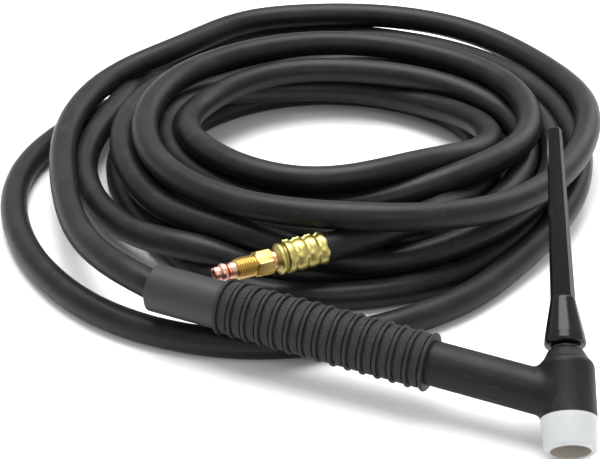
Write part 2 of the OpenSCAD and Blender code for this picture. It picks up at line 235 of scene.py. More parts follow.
@dataclass
class Groups:
    """Builds each shared node group once and places it in materials."""

    made: dict = field(default_factory=dict)

    def place(self, tree: bpy.types.NodeTree, effect: Effect, **values: float) -> bpy.types.Node:
        """Adds a group to a material and sets its inputs.

        Args:
            tree: the material's node tree.
            effect: which group to add.
            values: input values by socket name, with _ for a space.

        Returns:
            The group node.
        """
        if effect not in self.made:
            self.made[effect] = self._build(effect)
        node = tree.nodes.new("ShaderNodeGroup")
        node.node_tree = self.made[effect]
        for name, value in values.items():
            node.inputs[name.replace("_", " ")].default_value = value
        return node

    def _build(self, effect: Effect) -> bpy.types.NodeTree:
        """Builds one effect's node group and returns it.

        Args:
            effect: the effect.

        Returns:
            Its node group.
        """
        tree = bpy.data.node_groups.new(effect.value, "ShaderNodeTree")
        builder = {
            Effect.GRAIN: self._grain, Effect.DUST: self._dust, Effect.SCUFFS: self._scuffs,
            Effect.EDGE_WEAR: self._edge_wear, Effect.TURNING: self._turning,
        }[effect]
        builder(tree)
        return tree

    @staticmethod
    def _sockets(tree: bpy.types.NodeTree, inputs: dict, outputs: tuple) -> tuple:
        """Makes a group's sockets.

        Args:
            tree: the group's tree.
            inputs: name to default value.
            outputs: names of the float outputs.

        Returns:
            The group's input node and output node.
        """
        for name, value in inputs.items():
            socket = tree.interface.new_socket(name, in_out="INPUT", socket_type="NodeSocketFloat")
            socket.default_value = value
        for name in outputs:
            tree.interface.new_socket(name, in_out="OUTPUT", socket_type="NodeSocketFloat")
        return tree.nodes.new("NodeGroupInput"), tree.nodes.new("NodeGroupOutput")

    @staticmethod
    def _math(tree: bpy.types.NodeTree, operation: str, a: object, b: object) -> bpy.types.NodeSocket:
        """Adds a math node on two sockets or numbers and returns its output.

        Args:
            tree: the tree to add to.
            operation: the kind of operation.
            a: first socket or number.
            b: second socket or number.

        Returns:
            The output socket.
        """
        node = tree.nodes.new("ShaderNodeMath")
        node.operation = operation
        for socket, value in zip(node.inputs, (a, b)):
            if isinstance(value, (int, float)):
                socket.default_value = value
            else:
                tree.links.new(value, socket)
        return node.outputs[0]

    def _noise(self, tree: bpy.types.NodeTree, scale: object, detail: float,
               vector: object = None) -> object:
        """Adds a noise texture over object coordinates and returns its value.

        Args:
            tree: the tree to add to.
            scale: a socket or a number.
            detail: how many octaves.
            vector: coordinates, or None for the object's own.

        Returns:
            The socket of the noise's value.
        """
        if vector is None:
            vector = tree.nodes.new("ShaderNodeTexCoord").outputs["Object"]
        noise = tree.nodes.new("ShaderNodeTexNoise")
        noise.inputs["Detail"].default_value = detail
        tree.links.new(vector, noise.inputs["Vector"])
        if isinstance(scale, (int, float)):
            noise.inputs["Scale"].default_value = scale
        else:
            tree.links.new(scale, noise.inputs["Scale"])
        return noise.outputs["Fac"]

    def _grain(self, tree: bpy.types.NodeTree) -> None:
        """Fine moulded grain with a slower unevenness under it.

        Args:
            tree: the group's tree, to fill.
        """
        source, sink = self._sockets(tree, {"Scale": 900.0, "Unevenness": 0.3}, ("Height", "Tone"))
        fine = self._noise(tree, source.outputs["Scale"], 3.0)
        slow = self._noise(tree, self._math(tree, "MULTIPLY", source.outputs["Scale"], 0.05), 2.0)
        uneven = self._math(tree, "MULTIPLY", slow, source.outputs["Unevenness"])
        mixed = self._math(tree, "ADD", fine, uneven)
        tree.links.new(mixed, sink.inputs["Height"])
        slow_share = self._math(tree, "MULTIPLY", slow, 0.7)
        tone = self._math(tree, "ADD", slow_share, self._math(tree, "MULTIPLY", fine, 0.3))
        tree.links.new(tone, sink.inputs["Tone"])

    def _dust(self, tree: bpy.types.NodeTree) -> None:
        """Mask of fine dust, thicker on what faces up.

        Args:
            tree: the group's tree, to fill.
        """
        source, sink = self._sockets(tree, {"Amount": 0.3, "Scale": 60.0}, ("Mask",))
        normal = tree.nodes.new("ShaderNodeNewGeometry").outputs["Normal"]
        split = tree.nodes.new("ShaderNodeSeparateXYZ")
        tree.links.new(normal, split.inputs[0])
        upward = self._math(tree, "MAXIMUM", split.outputs["Z"], 0.0)
        patches = self._math(tree, "POWER", self._noise(tree, source.outputs["Scale"], 6.0), 2.5)
        shaped = self._math(tree, "MULTIPLY", self._math(tree, "MULTIPLY", upward, patches), 3.0)
        tree.links.new(self._math(tree, "MULTIPLY", shaped, source.outputs["Amount"]), sink.inputs["Mask"])

    def _scuffs(self, tree: bpy.types.NodeTree) -> None:
        """Mask of short thin rubs in several directions.

        Args:
            tree: the group's tree, to fill.
        """
        source, sink = self._sockets(tree, {"Amount": 0.2, "Scale": 60.0}, ("Mask",))
        coords = tree.nodes.new("ShaderNodeTexCoord").outputs["Object"]
        masks = []
        for turn in (0.5, 1.9):
            mapping = tree.nodes.new("ShaderNodeMapping")
            mapping.inputs["Rotation"].default_value = (turn, turn * 0.7, turn * 1.3)
            mapping.inputs["Scale"].default_value = (1.0, 14.0, 14.0)
            tree.links.new(coords, mapping.inputs["Vector"])
            streak = self._noise(tree, source.outputs["Scale"], 2.0, mapping.outputs["Vector"])
            masks.append(self._math(tree, "GREATER_THAN", streak, 0.70))
        patch = self._math(tree, "GREATER_THAN", self._noise(tree, 25.0, 1.0), 0.52)
        both = self._math(tree, "MULTIPLY", self._math(tree, "MAXIMUM", *masks), patch)
        tree.links.new(self._math(tree, "MULTIPLY", both, source.outputs["Amount"]), sink.inputs["Mask"])

    def _edge_wear(self, tree: bpy.types.NodeTree) -> None:
        """Mask of rubbed outer edges.

        Args:
            tree: the group's tree, to fill.
        """
        source, sink = self._sockets(tree, {"Amount": 0.5, "Scale": 300.0}, ("Mask",))
        pointy = tree.nodes.new("ShaderNodeNewGeometry").outputs["Pointiness"]
        edge = self._math(tree, "MULTIPLY", self._math(tree, "SUBTRACT", pointy, 0.55), 9.0)
        broken = self._math(tree, "MULTIPLY", edge, self._noise(tree, source.outputs["Scale"], 4.0))
        clipped = self._math(tree, "MINIMUM", self._math(tree, "MAXIMUM", broken, 0.0), 1.0)
        tree.links.new(self._math(tree, "MULTIPLY", clipped, source.outputs["Amount"]), sink.inputs["Mask"])

    def _turning(self, tree: bpy.types.NodeTree) -> None:
        """Height of fine tool lines square to the connector's axis.

        Args:
            tree: the group's tree, to fill.
        """
        source, sink = self._sockets(tree, {"Scale": 1800.0}, ("Height",))
        coords = tree.nodes.new("ShaderNodeTexCoord").outputs["Object"]
        mapping = tree.nodes.new("ShaderNodeMapping")
        mapping.vector_type = "POINT"
        mapping.inputs["Rotation"].default_value = (0, 0, -PLUG_HEADING)
        mapping.inputs["Scale"].default_value = (1.0, 0.02, 0.02)
        tree.links.new(coords, mapping.inputs["Vector"])
        lines = self._noise(tree, source.outputs["Scale"], 3.0, mapping.outputs["Vector"])
        tree.links.new(lines, sink.inputs["Height"])


# ---------------------------------------------------------------- finishes

GROUPS = Groups()


@dataclass(frozen=True)
class Finish:
    """A finish with grain, dust, scuffs and worn edges. Subclasses add what else they need."""

    name: str
    colour: tuple
    tone: tuple
    roughness: float = 0.5
    spread: float = 0.15
    metallic: float = 0.0
    specular: float = 0.5
    coat: float = 0.0
    grain_scale: float = 900.0
    grain_depth: float = 0.03
    dust: float = 0.0
    dust_colour: tuple = (0.30, 0.29, 0.27)
    scuffs: float = 0.0
    wear: float = 0.0
    wear_colour: tuple = (0.30, 0.30, 0.30)

    def material(self) -> bpy.types.Material:
        """Builds the material, once for each finish, apart from the plain ones that come with the frame."""
        title = f"{self.name}_finish"
        known = bpy.data.materials.get(title)
        if known is not None:
            return known
        material = bpy.data.materials.new(title)
        material.use_nodes = True
        tree = material.node_tree
        shader = tree.nodes["Principled BSDF"]
        shader.inputs["Metallic"].default_value = self.metallic
        shader.inputs["Specular IOR Level"].default_value = self.specular
        shader.inputs["Coat Weight"].default_value = self.coat
        shader.inputs["Coat Roughness"].default_value = 0.08
        grain = GROUPS.place(tree, Effect.GRAIN, Scale=self.grain_scale)
        colour = self._mix(tree, grain.outputs["Tone"], self.colour, self.tone)
        colour = self.tint(tree, colour)
        if self.wear:
            worn = GROUPS.place(tree, Effect.EDGE_WEAR, Amount=self.wear)
            colour = self._mix(tree, worn.outputs["Mask"], colour, self.wear_colour)
        if self.scuffs:
            rubs = GROUPS.place(tree, Effect.SCUFFS, Amount=self.scuffs)
            colour = self._mix(tree, rubs.outputs["Mask"], colour, self.wear_colour)
        if self.dust:
            dusty = GROUPS.place(tree, Effect.DUST, Amount=self.dust)
            colour = self._mix(tree, dusty.outputs["Mask"], colour, self.dust_colour)
        tree.links.new(colour, shader.inputs["Base Color"])
        rough = tree.nodes.new("ShaderNodeMapRange")
        rough.inputs["From Min"].default_value = 0.3
        rough.inputs["From Max"].default_value = 0.7
        rough.inputs["To Min"].default_value = max(0.02, self.roughness - self.spread / 2)
        rough.inputs["To Max"].default_value = min(1.0, self.roughness + self.spread / 2)
        tree.links.new(grain.outputs["Tone"], rough.inputs["Value"])
        tree.links.new(rough.outputs["Result"], shader.inputs["Roughness"])
        bump = tree.nodes.new("ShaderNodeBump")
        bump.inputs["Strength"].default_value = 1.0
        bump.inputs["Distance"].default_value = self.grain_depth * MM
        tree.links.new(self.relief(tree, grain.outputs["Height"]), bump.inputs["Height"])
        tree.links.new(bump.outputs["Normal"], shader.inputs["Normal"])
        self.dress(shader)
        return material

    def tint(self, tree: bpy.types.NodeTree, colour: object) -> object:
        """Hook that changes the colour before wear and dust."""
        return colour

    def relief(self, tree: bpy.types.NodeTree, height: object) -> object:
        """Hook that changes the height that feeds the bump."""
        return height

    def dress(self, shader: bpy.types.Node) -> None:
        """Hook that sets more of the shader's own sockets."""

    @staticmethod
    def _mix(tree: bpy.types.NodeTree, mask: object, a: object, b: object) -> object:
        """Mixes two colours, given as sockets or tuples, and returns the result's socket.

        Args:
            tree: the tree to add to.
            mask: socket of the share of b.
            a: first colour.
            b: second colour.

        Returns:
            The mixed colour's socket.
        """
        node = tree.nodes.new("ShaderNodeMix")
        node.data_type = "RGBA"
        tree.links.new(mask, node.inputs["Factor"])
        for socket, value in ((node.inputs["A"], a), (node.inputs["B"], b)):
            socket = next(s for s in node.inputs if s.name == socket.name and s.type == "RGBA")
            if isinstance(value, tuple):
                socket.default_value = (*value, 1.0)
            else:
                tree.links.new(value, socket)
        return next(s for s in node.outputs if s.type == "RGBA")


@dataclass(frozen=True)
class PebbleFinish(Finish):
    """Rubber whose flat bands are coarse and whose ribs are smooth, as the mesh's pebble values say."""

    pebble_scale: float = 1400.0

    def relief(self, tree: bpy.types.NodeTree, height: object) -> object:
        """Adds round pebbles where the mesh asks for them.

        Args:
            tree: the material's tree.
            height: socket of the height so far.

        Returns:
            Socket of the new height.
        """
        coords = tree.nodes.new("ShaderNodeTexCoord").outputs["Object"]
        cells = tree.nodes.new("ShaderNodeTexVoronoi")
        cells.inputs["Scale"].default_value = self.pebble_scale
        tree.links.new(coords, cells.inputs["Vector"])
        where = tree.nodes.new("ShaderNodeAttribute")
        where.attribute_name = "pebble"
        lumps = tree.nodes.new("ShaderNodeMath")
        lumps.operation = "MULTIPLY"
        tree.links.new(cells.outputs["Distance"], lumps.inputs[0])
        tree.links.new(where.outputs["Fac"], lumps.inputs[1])
        both = tree.nodes.new("ShaderNodeMath")
        both.operation = "MULTIPLY_ADD"
        both.inputs[1].default_value = 3.0
        tree.links.new(lumps.outputs[0], both.inputs[0])
        tree.links.new(height, both.inputs[2])
        return both.outputs[0]


@dataclass(frozen=True)
class TurnedMetal(Finish):
    """Metal with fine tool lines round it."""

    def relief(self, tree: bpy.types.NodeTree, height: object) -> object:
        """Adds the tool lines to the grain.

        Args:
            tree: the material's tree.
            height: socket of the height so far.

        Returns:
            Socket of the new height.
        """
        lines = GROUPS.place(tree, Effect.TURNING)
        both = tree.nodes.new("ShaderNodeMath")
        both.operation = "MULTIPLY_ADD"
        both.inputs[1].default_value = 0.8
        tree.links.new(lines.outputs["Height"], both.inputs[0])
        tree.links.new(height, both.inputs[2])
        return both.outputs[0]


@dataclass(frozen=True)
class Fluoropolymer(Finish):
    """Waxy white plastic that lets a little light in, greyer inside its bore."""

    bore_colour: tuple = (0.40, 0.34, 0.29)

    def tint(self, tree: bpy.types.NodeTree, colour: object) -> object:
        """Greys the colour near the head's axis, where the bore is.

        Args:
            tree: the material's tree.
            colour: socket of the colour so far.

        Returns:
            Socket of the new colour.
        """
        coords = tree.nodes.new("ShaderNodeTexCoord").outputs["Object"]
        shift = tree.nodes.new("ShaderNodeVectorMath")
        shift.operation = "SUBTRACT"
        shift.inputs[1].default_value = HEAD_AXIS.origin
        tree.links.new(coords, shift.inputs[0])
        across = tree.nodes.new("ShaderNodeVectorMath")
        across.operation = "CROSS_PRODUCT"
        across.inputs[1].default_value = HEAD_AXIS.along
        tree.links.new(shift.outputs[0], across.inputs[0])
        size = tree.nodes.new("ShaderNodeVectorMath")
        size.operation = "LENGTH"
        tree.links.new(across.outputs[0], size.inputs[0])
        inside = tree.nodes.new("ShaderNodeMapRange")
        inside.inputs["From Min"].default_value = 9.7 * MM
        inside.inputs["From Max"].default_value = 9.1 * MM
        tree.links.new(size.outputs["Value"], inside.inputs["Value"])
        return self._mix(tree, inside.outputs["Result"], colour, self.bore_colour)

    def dress(self, shader: bpy.types.Node) -> None:
        """Sets the light that passes under the surface.

        Args:
            shader: the material's shader.
        """
        shader.inputs["Subsurface Weight"].default_value = 0.25
        shader.inputs["Subsurface Radius"].default_value = (1.0, 0.95, 0.9)
        shader.inputs["Subsurface Scale"].default_value = 2.0 * MM


# ---------------------------------------------------------------- axes of the assembly

def joint(name: str) -> dict:
    """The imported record's joint of that name."""
    return next(j for j in frame["joints"] if j["name"] == name)


CAP_SEAT = 26.0                 # station of the cap's joint on the head's axis
PITCH = math.radians(1.8)       # lift of the handle's rear end
PLUG_HEADING = math.radians(229)
_cap = Vector(joint("cap_screw")["axis"])
_head = Vector(joint("cap_screw")["pos_m"]) - _cap * CAP_SEAT * MM
_rear = Vector((-math.cos(PITCH), 0, math.sin(PITCH)))
HEAD_AXIS = Axis(_head, _cap, square_to(_cap, _rear))
HANDLE_AXIS = Axis(_head, _rear, square_to(_rear, _cap))
PLUG_AXIS = Axis(
    Vector((-0.054, 0.024, 0.033)),
    Vector((math.cos(PLUG_HEADING), math.sin(PLUG_HEADING), 0)),
    Vector((0, 0, 1)),
)

MOULDED_RUBBER = Finish("moulded_rubber", (0.003, 0.003, 0.0034), (0.008, 0.008, 0.009),
                        0.48, 0.12, specular=0.20,
                        grain_scale=1500, grain_depth=0.02, dust=0.02, scuffs=0.08, wear=0.10)
GRIP_RUBBER = PebbleFinish("grip_rubber", (0.006, 0.006, 0.0065), (0.018, 0.018, 0.019),
                           0.58, 0.15, specular=0.32,
                           grain_scale=1100, grain_depth=0.15, dust=0.03, wear=0.12)
HANDLE_PLASTIC = Finish("handle_plastic", (0.018, 0.019, 0.020), (0.028, 0.029, 0.031),
                        0.52, 0.08, specular=0.34,
                        grain_scale=2200, grain_depth=0.012, dust=0.02, scuffs=0.04, wear=0.06)
CABLE_RUBBER = Finish("cable_rubber", (0.004, 0.0043, 0.0046), (0.010, 0.0106, 0.0112),
                      0.42, 0.14, specular=0.22,
                      grain_scale=1200, grain_depth=0.02, dust=0.03, scuffs=0.08)
PHENOLIC = Finish("phenolic", (0.004, 0.0035, 0.003), (0.009, 0.007, 0.006), 0.22, 0.08,
                  specular=0.24, coat=0.04, grain_scale=500, grain_depth=0.004, dust=0.01, scuffs=0.03)
SEAL_RUBBER = Finish("seal_rubber", (0.008, 0.008, 0.008), (0.015, 0.015, 0.015), 0.20, 0.05,
                     grain_scale=2500, grain_depth=0.003)
WHITE_PLASTIC = Fluoropolymer("insulator_white", (0.46, 0.472, 0.478), (0.50, 0.512, 0.518), 0.34, 0.10,
                              grain_scale=800, grain_depth=0.008, scuffs=0.05,
                              wear_colour=(0.70, 0.70, 0.69))
BRASS = TurnedMetal("brass", (0.56, 0.37, 0.10), (0.68, 0.49, 0.17),
                    0.38, 0.12, metallic=1.0,
                    grain_scale=700, grain_depth=0.012, wear=0.5, wear_colour=(0.98, 0.84, 0.46))
COPPER = TurnedMetal("copper", (0.80, 0.38, 0.27), (0.90, 0.52, 0.40),
                     0.34, 0.12, metallic=1.0,
                     grain_scale=600, grain_depth=0.010, wear=0.4, wear_colour=(0.98, 0.72, 0.60))
FERRULE_BRASS = Finish("ferrule_brass", (0.50, 0.42, 0.12), (0.64, 0.54, 0.21),
                       0.40, 0.14, metallic=1.0,
                       grain_scale=500, grain_depth=0.02, wear=0.4, wear_colour=(1.0, 0.93, 0.60))


def finish_piece(piece: bpy.types.Object, finish: Finish, body: str, *nodes: str) -> bpy.types.Object:
    """Gives a new piece its material and slot, its body, and the CAD nodes that it stands for.

    Args:
        piece: the object.
        finish: its finish.
        body: the CAD body that it rides on.
        nodes: CAD nodes that it replaces.

    Returns:
        The piece.
    """
    for dressed in (piece, *(bpy.data.objects[name] for name in nodes)):
        dressed.data.materials.clear()
        dressed.data.materials.append(finish.material())
    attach(piece, body)
    if nodes:
        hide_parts(*nodes)
    LOG.info("%s rides on %s, in %s", piece.name, body, finish.name)
    return piece


# ---------------------------------------------------------------- camera, floor and light

@dataclass
class Studio:
    """Camera, pale floor and soft lights."""

    eye: tuple = (0.2672, -0.6866, 0.4946)
    azimuth_deg: float = 25.2
    down_deg: float = 30.0
    roll_deg: float = -0.8
    lens_mm: float = 105.2

    def build(self) -> None:
        """Makes the camera, the floor and the lights."""
        self._camera()
        self._floor()
        self._lights()

    def _camera(self) -> None:
        """Makes the camera and the scene's use of it."""
        data = bpy.data.cameras.new("camera")
        data.lens = self.lens_mm
        data.sensor_width = 36.0
        data.clip_end = 50.0
        camera = bpy.data.objects.new("camera", data)
        bpy.context.scene.collection.objects.link(camera)
        az, el, ro = (math.radians(v) for v in (self.azimuth_deg, self.down_deg, self.roll_deg))
        forward = Vector((-math.sin(az) * math.cos(el), math.cos(az) * math.cos(el), -math.sin(el)))
        right = Vector((math.cos(az), math.sin(az), 0))
        up = right.cross(forward)
        right, up = right * math.cos(ro) + up * math.sin(ro), up * math.cos(ro) - right * math.sin(ro)
        turned = Matrix((right, up, -forward)).transposed().to_4x4()
        camera.matrix_world = Matrix.Translation(self.eye) @ turned
        bpy.context.scene.camera = camera

    def _floor(self) -> None:
        """Makes a wide pale floor."""
        half = 6.0
        corners = [(-half, -half, 0), (half, -half, 0), (half, half, 0), (-half, half, 0)]
        floor = mesh_object("floor", corners, [(0, 1, 2, 3)])
        material = bpy.data.materials.new("pale_floor")
        material.use_nodes = True
        tree = material.node_tree
        shader = tree.nodes["Principled BSDF"]
        shader.inputs["Roughness"].default_value = 0.9
        shader.inputs["Specular IOR Level"].default_value = 0.1
        grain = GROUPS.place(tree, Effect.GRAIN, Scale=40.0)
        tint = Finish._mix(tree, grain.outputs["Tone"], (0.95, 0.95, 0.95), (0.97, 0.97, 0.97))
        tree.links.new(tint, shader.inputs["Base Color"])
        floor.data.materials.append(material)

    def _lights(self) -> None:
        """Makes an even white surround and three large soft lamps."""
        world = bpy.data.worlds.new("studio")
        world.use_nodes = True
        world.node_tree.nodes["Background"].inputs["Color"].default_value = (1, 1, 1, 1)
        world.node_tree.nodes["Background"].inputs["Strength"].default_value = 0.66
        bpy.context.scene.world = world
        bpy.context.scene.view_settings.view_transform = "Standard"
        middle = Vector((-0.05, 0.1, 0.0))
        lamps = (
            ("key_light", (-0.35, 0.45, 1.8), 1.7, 52.0),
            ("fill_light", (1.1, -1.3, 1.2), 1.0, 6.0),
            ("back_light", (0.4, 1.8, 1.1), 1.4, 12.0),
        )
        for name, place, size, power in lamps:
            data = bpy.data.lights.new(name, "AREA")
            data.shape = "DISK"
            data.size = size
            data.energy = power
            lamp = bpy.data.objects.new(name, data)
            lamp.location = place
            lamp.rotation_euler = (middle - Vector(place)).to_track_quat("-Z", "Y").to_euler()
            bpy.context.scene.collection.objects.link(lamp)


# ---------------------------------------------------------------- cable

@dataclass
class Cable:
    """The rubber hose: a lead from the handle, piled turns, a wide turn and a tail."""

    diameter: float = 15.4
    length: float = 7.62                     # 25 ft
    centre: tuple = (-102.0, 152.0)          # of the coil
    spacing: float = 8.0                     # between the points that settle
    rounds: int = 600                        # of settling
    stiffness: int = 9                       # points over which a push spreads
    tightest: float = 72.0                   # bend radius
    fairing: int = 4                         # points over which small bends are evened out
    # where it isn't coiled
    lead: tuple = (
        (-0.130, -0.039, 0.0326), (-0.148, -0.031, 0.031), (-0.170, -0.017, 0.029),
        (-0.192, 0.003, 0.027), (-0.214, 0.031, 0.026), (-0.233, 0.058, 0.0255), (-0.249, 0.085, 0.0255),
        (-0.260, 0.112, 0.026), (-0.266, 0.138, 0.027), (-0.266, 0.164, 0.028), (-0.259, 0.190, 0.030),
        (-0.246, 0.214, 0.032),
    )
    wide_turn: tuple = (
        (-0.244, 0.204), (-0.260, 0.178), (-0.271, 0.148), (-0.276, 0.118), (-0.274, 0.086),
        (-0.266, 0.058),
        (-0.252, 0.033), (-0.233, 0.009), (-0.210, -0.012), (-0.184, -0.029), (-0.154, -0.042),
        (-0.122, -0.047), (-0.090, -0.045), (-0.060, -0.036), (-0.033, -0.019), (-0.010, 0.004),
        (0.008, 0.030), (0.020, 0.058),
    )
    tail: tuple = (
        (-0.017, 0.082, 0.032), (-0.024, 0.065, 0.033), (-0.033, 0.050, 0.033), (-0.043, 0.0365, 0.033),
        (-0.054, 0.024, 0.033),
    )
    # piled turns, as (radius, height) at every eighth of a turn, clockwise from bearing 135
    upper_turns: tuple = (
        (175, 36), (171, 37), (152, 34), (137, 38), (134, 47), (122, 48), (115, 48),
        (109, 48), (104, 48), (112, 43), (116, 40), (106, 38), (88, 36), (90, 34), (98, 34),
        (107, 33), (92, 25), (91, 21), (93, 21), (90, 34), (88, 46), (87, 48), (90, 46),
        (92, 36), (90, 35), (86, 34), (110, 21), (112, 21), (108, 21), (100, 21), (108, 21),
        (112, 21), (118, 21), (124, 21), (130, 21), (129, 21), (125, 21), (131, 28), (126, 35),
        (128, 34), (134, 28), (132, 21), (122, 15), (116, 8), (112, 9), (140, 20), (148, 21),
        (161, 22), (183, 20), (158, 24), (138, 26), (128, 14),
    )
    lower_turns: tuple = (
        (150, 8), (145, 8), (140, 8), (124, 8), (141, 8), (130, 8), (127, 8),
        (135, 8), (130, 8), (120, 8), (112, 8), (106, 8), (108, 8), (108, 8), (108, 8),
        (112, 8), (106, 8), (99, 8), (96, 8), (104, 18),
    )

    def turns(self, table: tuple, first_bearing: float = 135.0) -> np.ndarray:
        """Works out piled turns from their radii and heights.

        Args:
            table: (radius, height) at every eighth of a turn, in millimetres.
            first_bearing: bearing of the first of them from the coil's centre, in degrees.

        Returns:
            Points every 7.5 degrees, in metres.
        """
        per_eighth = 6
        fine = spline(np.array(table, float), per_eighth)
        out = []
        for i, (radius, height) in enumerate(fine):
            bearing = math.radians(first_bearing - i * 45.0 / per_eighth)
            out.append((self.centre[0] + radius * math.cos(bearing),
                        self.centre[1] + radius * math.sin(bearing), height))
        return np.array(out) * MM

    def route(self) -> tuple:
        """Lays the whole centreline out before it settles.

        Returns:
            The points, and how firmly each one is held to its place, from 0 to 1.
        """
        radius = self.diameter / 2 * MM
        exit_point = HANDLE_AXIS.at(214)
        flat = np.array([(x, y, radius) for x, y in reversed(self.wide_turn)])
        parts = [
            (np.array([tuple(exit_point), *self.lead]), 1.0), (self.turns(self.upper_turns), 0.0),
            (flat, 0.9), (self.turns(self.lower_turns), 0.0), (np.array(self.tail), 1.0),
        ]
        rows = np.vstack([np.column_stack([p, np.full(len(p), hold)]) for p, hold in parts])
        smooth = spline(rows, 4)
        even = evenly(smooth, self.spacing * MM)
        return even[:, :3], np.clip(even[:, 3], 0, 1)

    def settle(self, points: np.ndarray, hold: np.ndarray) -> np.ndarray:
        """Lets the turns push each other apart and sink onto what is under them.

        Args:
            points: the centreline before settling.
            hold: how firmly each point stays in place.

        Returns:
            The settled centreline.
        """
        target, place = points.copy(), points.copy()
        d = self.diameter * MM
        plug = np.array([PLUG_AXIS.at(s) for s in np.arange(0, 61, self.spacing)])
        half = 3 * self.stiffness
        kernel = np.exp(-(np.arange(-half, half + 1) / self.stiffness) ** 2)
        kernel /= kernel.sum()
        free = (1 - spread(hold[:, None], kernel, 4)).clip(0, 1) * (hold[:, None] < 0.95)
        loose = (hold[:, None] < 0.95).astype(float)
        for turn in range(self.rounds):
            if turn % 10 == 0:
                first, second = self._neighbours(place)
            gap = place[first] - place[second]
            far = np.linalg.norm(gap, axis=1)[:, None] + 1e-9
            push = np.maximum(d - far, 0) / far * gap
            move, touched = np.zeros_like(place), np.full((len(place), 1), 1e-9)
            for index, other, sign in ((first, second, 1), (second, first, -1)):
                np.add.at(move, index, sign * push * (0.5 + 0.5 * hold[other][:, None]))
                np.add.at(touched, index, (far < d).astype(float))
            off = place[:, None, :] - plug[None, :, :]
            near = np.linalg.norm(off, axis=2)[:, :, None] + 1e-9
            move += (np.maximum(d + 0.0005 - near, 0) / near * off).sum(axis=1)
            move /= np.maximum(1, 0.5 * touched)
            move += (0.06 if turn < 0.7 * self.rounds else 0.01) * (target - place)
            move[:, 2] -= 0.00006
            place = place + spread(move * free, kernel) * free
            place += self._unbend(place) * loose
            place[:, 2] = np.maximum(place[:, 2], d / 2)
        return place

    def _unbend(self, place: np.ndarray) -> np.ndarray:
        """Works out how far each point must move for the cable to be no tighter there than it can bend.

        Args:
            place: the centreline.

        Returns:
            A move for each point, towards the middle of the chord across it.
        """
        reach = 4
        move = np.zeros_like(place)
        middle = (place[2 * reach:] + place[:-2 * reach]) / 2 - place[reach:-reach]
        sag = np.linalg.norm(middle, axis=1)[:, None] + 1e-9
        allowed = (reach * self.spacing * MM) ** 2 / (2 * self.tightest * MM)
        move[reach:-reach] = 0.4 * np.maximum(1 - allowed / sag, 0) * middle
        return move

    def _fair(self, points: np.ndarray) -> np.ndarray:
        """Evens out small bends, and leaves both ends where they are.

        Args:
            points: the settled centreline.

        Returns:
            The faired centreline.
        """
        half = 3 * self.fairing
        kernel = np.exp(-0.5 * (np.arange(-half, half + 1) / self.fairing) ** 2)
        before = 2 * points[0] - points[half:0:-1]
        after = 2 * points[-1] - points[-2:-half - 2:-1]
        rows = np.vstack([before, points, after])
        return np.column_stack([np.convolve(rows[:, i], kernel / kernel.sum(), "valid") for i in range(3)])

    def _neighbours(self, place: np.ndarray) -> tuple:
        """Pairs of points that are near each other in space but not along the cable.

        Args:
            place: the centreline.

        Returns:
            The indices of the first and of the second point of each pair.
        """
        skip = int(2.5 * self.diameter / self.spacing)
        first, second = np.triu_indices(len(place), skip)
        close = np.linalg.norm(place[first] - place[second], axis=1) < 1.5 * self.diameter * MM
        return first[close], second[close]

    def build(self, with_pieces: list) -> bpy.types.Object:
        """Args:
            with_pieces: the pieces on its far end. Not used.

        Returns:
            The cable.
        """
        points, hold = self.route()
        before = length_of(points)
        points = self.settle(points, hold)
        points = self._fair(evenly(spline(points, 3), 0.5 * self.spacing * MM))
        points[:, 2] = np.maximum(points[:, 2], self.diameter / 2 * MM)
        LOG.info("cable: %.3f m laid out, %.3f m settled", before, length_of(points))
        curve = bpy.data.curves.new("cable", "CURVE")
        curve.dimensions = "3D"
        curve.bevel_depth = self.diameter / 2 * MM
        curve.bevel_resolution = 5
        curve.use_fill_caps = True
        line = curve.splines.new("POLY")
        line.points.add(len(points) - 1)
        line.points.foreach_set("co", np.column_stack([points, np.ones(len(points))]).ravel())
        line.use_smooth = True
        cable = bpy.data.objects.new("cable", curve)
        bpy.context.scene.collection.objects.link(cable)
        finish_piece(cable, CABLE_RUBBER, "root",
                     "cable_lead_in", "cable_outer_loop", "cable_coil", "cable_tail")
        return cable


# ---------------------------------------------------------------- torch

